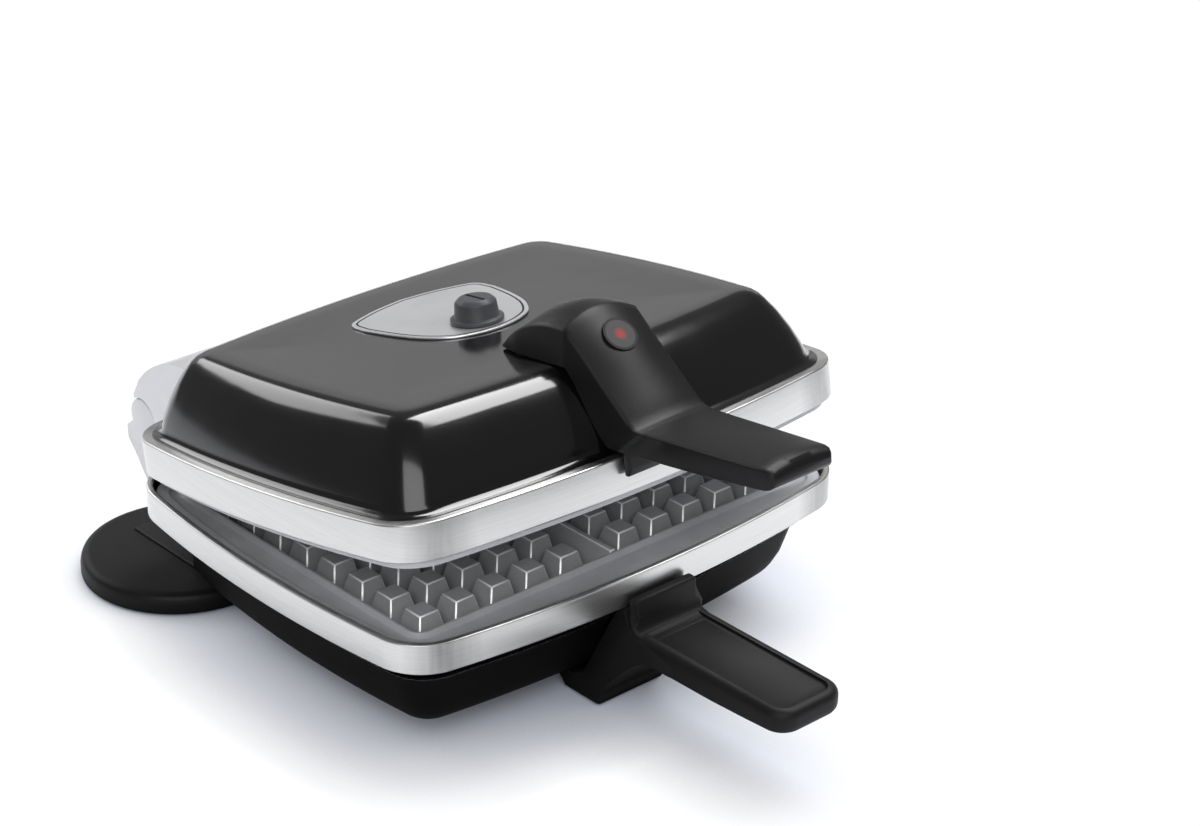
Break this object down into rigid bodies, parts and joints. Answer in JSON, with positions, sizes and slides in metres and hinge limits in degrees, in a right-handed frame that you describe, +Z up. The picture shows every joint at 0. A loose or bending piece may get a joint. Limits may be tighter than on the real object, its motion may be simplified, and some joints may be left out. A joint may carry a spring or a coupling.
{
  "type": "waffle maker",
  "caption": "Countertop waffle maker: hinged lid and base with cast grid plates, steel trim rings, front handles, disc feet, thermostat knob and signal lamp.",
  "frame": {"origin": "centre of the bounding box's bottom face, on the ground plane", "axes": "+Z up, +X along the lid hinge to the right as seen from the handles, -Y towards the handles"},
  "size_m": [0.28, 0.401, 0.1887],
  "materials": {
    "gloss_black": "high gloss lacquer",
    "pan_black": "satin black lacquer",
    "stainless": "brushed along the band",
    "cast_plate": "as cast, edges worn bright",
    "hinge_aluminium": "polished casting",
    "reflector": "bright sheet",
    "sheathed_steel": "heat-darkened sheath",
    "steel": "zinc plated",
    "badge": "fine satin, left bare",
    "black_plastic": "fine-textured moulding",
    "knob_plastic": "satin moulding",
    "grey_plastic": "plain moulding",
    "rubber": "matt",
    "lens": "smoked translucent",
    "lamp": "red translucent"
  },
  "bodies": {
    "base": {"base_shell": "pan_black", "cord_gland": "rubber", "lower_trim_ring": "stainless", "lower_plate": "cast_plate", "lower_heating_element": "sheathed_steel", "lower_reflector": "reflector", "lower_plate_spring_left": "steel", "lower_plate_spring_right": "steel", "lower_handle": "black_plastic", "lower_handle_screw_left": "steel", "lower_handle_screw_right": "steel", "rear_foot_left": "black_plastic", "rear_foot_right": "black_plastic", "foot_pad_front": "rubber", "foot_pad_left": "rubber", "foot_pad_right": "rubber", "lower_hinge_left": "hinge_aluminium", "lower_hinge_right": "hinge_aluminium", "hinge_pin_left": "steel", "hinge_pin_right": "steel"},
    "lid": {"upper_trim_ring": "stainless", "upper_plate": "cast_plate", "upper_heating_element": "sheathed_steel", "upper_reflector": "reflector", "upper_plate_spring_left": "steel", "upper_plate_spring_right": "steel", "top_cover": "gloss_black", "badge_plate": "badge", "thermostat_body": "grey_plastic", "upper_handle": "black_plastic", "upper_handle_screw_left": "steel", "upper_handle_screw_right": "steel", "pilot_lens": "lens", "pilot_lamp": "lamp", "upper_hinge_left": "hinge_aluminium", "upper_hinge_right": "hinge_aluminium"},
    "knob": {"thermostat_knob": "knob_plastic"}
  },
  "joints": [
    {"name": "lid_hinge", "type": "hinge", "parent": "base", "child": "lid", "pos_m": [0, 0.1551, 0.086], "axis": [-1, 0, 0], "range_deg": [-9.4, 75]},
    {"name": "thermostat_turn", "type": "hinge", "parent": "lid", "child": "knob", "pos_m": [0, 0.02713, 0.15239], "axis": [0, 0.1633, 0.9866], "range_deg": [-135, 135]}
  ]
}
